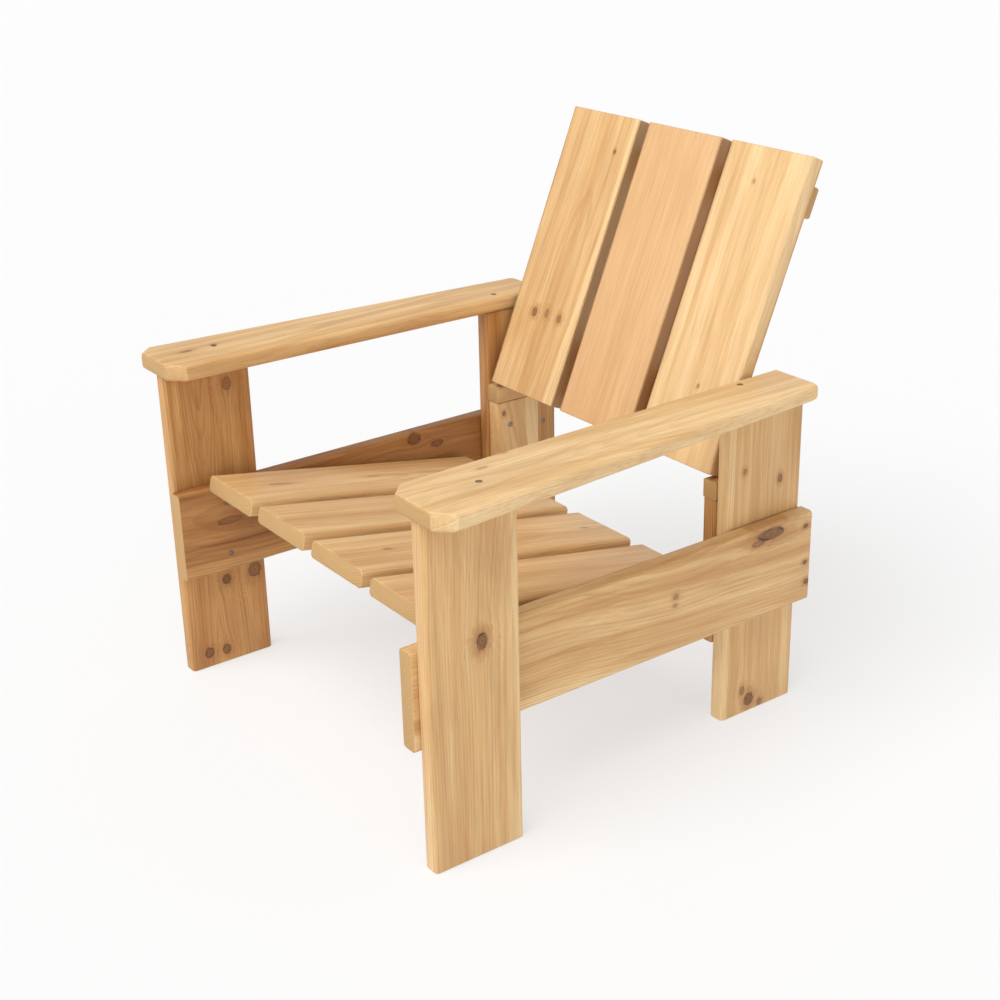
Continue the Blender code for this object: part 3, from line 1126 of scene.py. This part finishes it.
@dataclass
class Side:
    """One side of the chair: two legs, a rail, a post, a block and an armrest.

    Attributes:
        label: left or right, as the sitter sees it.
        front_leg: cedar of the front leg, and so on for the other planks.
        leg_rounding: radius of the legs' long edges.
        rail_rounding: radius of the rail's and the post's long edges.
        block_rounding: radius of the block's long edges.
    """

    label: str
    front_leg: Cedar
    rail: Cedar
    rear_leg: Cedar
    post: Cedar
    block: Cedar
    arm: Cedar
    leg_rounding: float = 0.0062
    rail_rounding: float = 0.0055
    block_rounding: float = 0.0025

    def planks(self) -> list[Plank]:
        """The side's planks, from the outermost in."""
        return [
            Plank(f"front_leg_{self.label}", self.front_leg, self.leg_rounding),
            Plank(f"side_rail_{self.label}", self.rail, self.rail_rounding),
            Plank(f"rear_leg_{self.label}", self.rear_leg, self.leg_rounding),
            Plank(f"rear_post_{self.label}", self.post, self.rail_rounding),
            Plank(f"back_block_{self.label}", self.block, self.block_rounding, 0.001),
            Armrest(f"armrest_{self.label}", self.arm),
        ]


@dataclass
class Seat:
    """The seat: four slats from front to back on two bearers.

    Attributes:
        slats: cedar of each slat, from the sitter's right.
        bearer: cedar of the two bearers.
        slat_rounding: radius of the slats' long edges.
        bearer_rounding: radius of the bearers' long edges.
    """

    slats: tuple[Cedar, ...]
    bearer: Cedar
    slat_rounding: float = 0.0072
    bearer_rounding: float = 0.003

    def planks(self) -> list[Plank]:
        """The seat's planks."""
        found = [
            Plank(f"seat_slat_{index}", wood, self.slat_rounding, 0.0024)
            for index, wood in enumerate(self.slats, start=1)
        ]
        found += [
            Plank(f"seat_bearer_{where}", self.bearer, self.bearer_rounding)
            for where in ("front", "rear")
        ]
        return found


@dataclass
class Back:
    """The back: three leaning slats on an upper batten and a lower rail.

    Attributes:
        slats: cedar of each slat, from the sitter's right.
        batten: cedar of the upper batten.
        rail: cedar of the lower rail.
        slat_rounding: radius of the slats' long edges.
        batten_rounding: radius of the batten's and the rail's long edges.
    """

    slats: tuple[Cedar, ...]
    batten: Cedar
    rail: Cedar
    slat_rounding: float = 0.0030
    batten_rounding: float = 0.0042

    def planks(self) -> list[Plank]:
        """The back's planks."""
        found = [
            Plank(f"back_slat_{index}", wood, self.slat_rounding)
            for index, wood in enumerate(self.slats, start=1)
        ]
        found.append(Plank("back_upper_batten", self.batten, self.batten_rounding))
        found.append(Plank("back_lower_rail", self.rail, self.batten_rounding))
        return found


@dataclass(frozen=True)
class Studio:
    """A pale floor, soft light from above and in front, and the camera.

    Attributes:
        azimuth: degrees that the camera stands round to the sitter's left of straight ahead.
        elevation: degrees that it looks down.
        roll: degrees that it leans.
        distance: metres from the point that it aims at.
        aim: that point.
        lens: focal length in millimetres.
        sensor: the sensor's width in millimetres.
        floor_size: the floor's width in metres.
        floor_drop: how far it lies under the feet.
        floor_colour: its paint.
        floor_glow: light that it gives off, which keeps the shadows on it faint.
        wall: brightness of the walls near the horizon.
        wall_fade: sines of the elevations between which the walls turn into the sky.
        sky: brightness overhead.
        key: strength of the lamp above and in front.
        key_from: where that lamp stands.
        fill: strength of the lamp at the sitter's left.
        fill_from: where that one stands.
    """

    azimuth: float = 54.19
    elevation: float = 23.28
    roll: float = -1.33
    distance: float = 2.1636
    aim: tuple[float, float, float] = (0.2325, -0.1688, 0.4258)
    lens: float = 60.76
    sensor: float = 36.0
    floor_size: float = 80.0
    floor_drop: float = 0.0005
    floor_colour: Colour = (0.33, 0.33, 0.33)
    floor_glow: float = 0.585
    wall: float = 0.97
    wall_fade: tuple[float, float] = (0.24, 0.44)
    sky: float = 0.42
    key: float = 2.50
    key_from: tuple[float, float, float] = (0.12, -0.75, 1.15)
    fill: float = 0.42
    fill_from: tuple[float, float, float] = (1.0, -0.35, 0.22)

    def camera(self) -> None:
        """Adds the camera."""
        turn = math.radians(self.azimuth)
        rise = math.radians(self.elevation)
        back = Vector((
            math.sin(turn) * math.cos(rise), -math.cos(turn) * math.cos(rise), math.sin(rise)))
        level = Vector((math.cos(turn), math.sin(turn), 0.0))
        frame = Matrix((level, back.cross(level), back)).transposed()
        lean = Matrix.Rotation(math.radians(self.roll), 3, "Z")
        data = bpy.data.cameras.new("view")
        data.lens = self.lens
        data.sensor_width = self.sensor
        camera = bpy.data.objects.new("view", data)
        camera.matrix_world = (
            Matrix.Translation(Vector(self.aim) + back * self.distance) @ (frame @ lean).to_4x4())
        bpy.context.scene.collection.objects.link(camera)
        bpy.context.scene.camera = camera

    def lamp(self, name: str, towards: Sequence[float], strength: float, spread: float) -> None:
        """Adds a distant lamp that shines from a direction.

        Args:
            name: the lamp's name.
            towards: the direction in which the lamp stands.
            strength: its irradiance.
            spread: its angular size in degrees, which sets how soft the shadows are.
        """
        data = bpy.data.lights.new(name, "SUN")
        data.energy = strength
        data.angle = math.radians(spread)
        lamp = bpy.data.objects.new(name, data)
        lamp.matrix_world = Vector(towards).to_track_quat("Z", "Y").to_matrix().to_4x4()
        bpy.context.scene.collection.objects.link(lamp)

    def surround(self) -> None:
        """Adds the white walls of the studio: bright near the horizon and softer overhead."""
        world = bpy.data.worlds.new("walls")
        world.use_nodes = True
        tree = world.node_tree
        tree.nodes["Background"].inputs["Color"].default_value = (1.0, 1.0, 1.0, 1.0)
        direction = tree.nodes.new("ShaderNodeTexCoord")
        height = tree.nodes.new("ShaderNodeSeparateXYZ")
        fade = tree.nodes.new("ShaderNodeMapRange")
        fade.interpolation_type = "SMOOTHSTEP"
        settings = (*self.wall_fade, self.wall, self.sky)
        for socket, value in zip(list(fade.inputs)[1:5], settings):
            socket.default_value = value
        tree.links.new(direction.outputs["Generated"], height.inputs[0])
        tree.links.new(height.outputs["Z"], fade.inputs[0])
        tree.links.new(fade.outputs[0], tree.nodes["Background"].inputs["Strength"])
        bpy.context.scene.world = world

    def build(self) -> None:
        """Adds the floor, the light and the camera."""
        deselect_all()
        bpy.ops.mesh.primitive_plane_add(size=self.floor_size, location=(0.0, 0.0, -self.floor_drop))
        floor = bpy.context.object
        floor.name = "floor"
        s = Shader("floor_paint")
        s.surface.inputs["Base Color"].default_value = (*self.floor_colour, 1.0)
        s.surface.inputs["Roughness"].default_value = 0.9
        s.surface.inputs["Specular IOR Level"].default_value = 0.1
        s.surface.inputs["Emission Color"].default_value = (1.0, 1.0, 1.0, 1.0)
        s.surface.inputs["Emission Strength"].default_value = self.floor_glow
        floor.data.materials.append(s.material)
        self.surround()
        self.lamp("key", self.key_from, self.key, spread=45.0)
        self.lamp("fill", self.fill_from, self.fill, spread=40.0)
        bpy.context.scene.view_settings.view_transform = "Standard"
        self.camera()


# ---------------------------------------------------------------- this chair's planks


def left_side() -> Side:
    """The side at the sitter's left hand, which the camera sees from outside."""
    return Side(
        label="left",
        front_leg=Cedar(
            "cedar_leg", Tone.HONEY, Cut.RIFT, 11, tilt=0.004, wander=0.006, sap_low=0.003,
            sap_high=0.013, streaks=0.30, knots=(Knot(0.065, 0.0106, 0.0078, 1.45, 0.90),)),
        rail=Cedar(
            "cedar_rail", Tone.HONEY, Cut.RIFT, 23, tilt=0.060, wander=0.012, sap_low=0.010,
            streaks=0.55, knots=(
                Knot(0.262, 0.057, 0.0085, 3.0, 0.90), Knot(0.238, 0.049, 0.0050, 2.6, 0.60),
                Knot(0.085, 0.014, 0.0042, 1.2, 0.50), Knot(0.084, 0.001, 0.0030, 1.2, 0.40),
                Knot(0.331, 0.050, 0.0032, 1.4, 0.90), Knot(0.333, -0.008, 0.0030, 1.3, 0.90),
                Knot(0.338, -0.040, 0.0040, 1.3, 0.90))),
        rear_leg=Cedar(
            "cedar_leg", Tone.HONEY, Cut.QUARTER, 31, wander=0.005, sap_low=0.012, streaks=0.30,
            knots=(
                Knot(0.144, -0.041, 0.0034, 1.4, 0.50), Knot(0.117, 0.028, 0.0042, 1.5, 0.70),
                Knot(-0.224, -0.016, 0.0085, 1.2, 0.90), Knot(-0.206, -0.030, 0.0050, 1.5, 0.60),
                Knot(-0.236, 0.006, 0.0050, 1.2, 0.60))),
        post=Cedar("cedar_deep", Tone.AMBER, Cut.RIFT, 41, streaks=0.5),
        block=Cedar("cedar_deep", Tone.AMBER, Cut.FLAT, 43, streaks=0.5),
        arm=Cedar(
            "cedar_arm", Tone.PALE, Cut.FLAT, 53, tilt=-0.015, wander=0.012, streaks=0.50,
            knots=(Knot(-0.205, -0.028, 0.0030, 2.6, 0.35), Knot(-0.155, -0.052, 0.0028, 1.6, 0.40))),
    )


def right_side() -> Side:
    """The side at the sitter's right hand, which the camera sees from inside."""
    return Side(
        label="right",
        # The darker tones of the legs and the rail partly paint the shade on this side's inner faces.
        front_leg=Cedar(
            "cedar_leg", Tone.AMBER, Cut.HEART, 13, wander=0.008, streaks=0.45, sap_low=0.004,
            knots=(
                Knot(0.212, 0.030, 0.0080, 1.25, 0.55), Knot(-0.103, 0.001, 0.0070, 1.15, 0.95),
                Knot(-0.101, 0.050, 0.0110, 1.10, 0.70), Knot(-0.219, -0.040, 0.0075, 1.20, 0.85),
                Knot(-0.222, -0.010, 0.0070, 1.20, 0.80))),
        rail=Cedar(
            "cedar_rail", Tone.DEEP, Cut.FLAT, 29, tilt=0.035, wander=0.014, sap_low=0.014,
            streaks=0.90, knots=(
                Knot(0.074, 0.060, 0.0090, 1.4, 0.85), Knot(0.118, 0.042, 0.0060, 2.0, 0.75),
                Knot(-0.264, 0.012, 0.0060, 3.5, 0.55))),
        rear_leg=Cedar("cedar_leg", Tone.AMBER, Cut.QUARTER, 37, wander=0.005, streaks=0.45),
        post=Cedar(
            "cedar_deep", Tone.HONEY, Cut.FLAT, 47, tilt=0.16, sap_high=0.024, streaks=0.55,
            knots=(Knot(0.093, -0.030, 0.0030, 1.5, 0.75),)),
        block=Cedar("cedar_deep", Tone.HONEY, Cut.FLAT, 49, streaks=0.4),
        arm=Cedar(
            "cedar_arm", Tone.HONEY, Cut.FLAT, 59, tilt=0.012, wander=0.010, streaks=0.55,
            knots=(Knot(-0.276, -0.006, 0.0034, 2.6, 0.65), Knot(-0.230, -0.010, 0.0026, 1.8, 0.60))),
    )


def seat() -> Seat:
    """The seat, from the sitter's right to the left."""
    return Seat(
        slats=(
            Cedar(
                "cedar_seat", Tone.HONEY, Cut.FLAT, 61, tilt=0.03, streaks=0.35, knots=(
                    Knot(-0.153, 0.002, 0.0030, 6.0, 0.50), Knot(0.013, 0.001, 0.0022, 5.0, 0.40))),
            Cedar("cedar_seat", Tone.HONEY, Cut.RIFT, 67, tilt=-0.01, streaks=0.35),
            Cedar(
                "cedar_seat", Tone.HONEY, Cut.FLAT, 71, tilt=0.01, streaks=0.25, knots=(
                    Knot(-0.152, -0.001, 0.0032, 2.0, 0.45), Knot(0.193, 0.004, 0.0028, 1.8, 0.45))),
            Cedar("cedar_seat", Tone.HONEY, Cut.FLAT, 73, tilt=-0.02, streaks=0.40),
        ),
        bearer=Cedar("cedar_deep", Tone.AMBER, Cut.RIFT, 79, streaks=0.4),
    )


def back() -> Back:
    """The back, from the sitter's right to the left."""
    # The first two slats carry painted shade on the edges that face the gaps.
    return Back(
        slats=(
            Cedar(
                "cedar_back", Tone.HONEY, Cut.FLAT, 83, tilt=-0.02, streaks=0.40,
                sap_high=0.020, gap_shade=0.62, knots=(
                    Knot(-0.098, -0.025, 0.0056, 1.25, 0.75), Knot(-0.094, 0.004, 0.0044, 1.6, 0.50),
                    Knot(-0.096, 0.036, 0.0052, 1.2, 0.60), Knot(0.172, 0.0445, 0.0024, 1.3, 0.80))),
            Cedar(
                "cedar_rose", Tone.ROSE, Cut.RIFT, 89, wander=0.006, streaks=0.20,
                gap_shade=0.62),
            Cedar(
                "cedar_back", Tone.PALE, Cut.QUARTER, 97, wander=0.008, streaks=0.60, knots=(
                    Knot(0.177, -0.012, 0.0022, 1.4, 0.45), Knot(-0.117, 0.0075, 0.0020, 1.4, 0.55))),
        ),
        batten=Cedar("cedar_rail", Tone.HONEY, Cut.RIFT, 101, streaks=0.4),
        rail=Cedar("cedar_deep", Tone.AMBER, Cut.FLAT, 103, streaks=0.5),
    )


HEAD_BOARDS = {
    "arm_screw_front": "armrest_{side}",
    "arm_screw_rear": "armrest_{side}",
    "rail_screw_front": "side_rail_{side}",
    "rail_screw_rear": "rear_leg_{side}",
    "post_screw": "rear_post_{side}",
    "seat_screw_front": "seat_bearer_front",
    "seat_screw_rear": "seat_bearer_rear",
    "back_screw_upper": "back_upper_batten",
    "back_screw_lower": "back_lower_rail",
}


def head_board(node: str) -> str:
    """The node of the plank that a screw's head lies in."""
    start = next(key for key in HEAD_BOARDS if node.startswith(key))
    return HEAD_BOARDS[start].format(side=node.rsplit("_", 1)[-1])


def main() -> None:
    """Loads the frame, builds the chair's pieces around it and sets up the studio."""
    logging.basicConfig(level=logging.INFO, format="%(message)s")
    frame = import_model()
    nodes = frame["nodes"]
    Studio().build()
    planks: dict[str, Plank] = {}
    for assembly in (left_side(), right_side(), seat(), back()):
        for plank in assembly.planks():
            plank.model(nodes[plank.node])
            planks[plank.node] = plank
    screws = ScrewSet()
    for node in sorted(name for name in nodes if "_screw_" in name):
        board = planks[head_board(node)]
        screws.drive(node, nodes[node], board)
        LOG.info("%s_steel: its head lies in %s", node, board.node)
    for plank in planks.values():
        plank.dress()
        LOG.info("%s: %d faces", plank.piece.name, len(plank.piece.data.polygons))


if __name__ == "__main__":
    main()
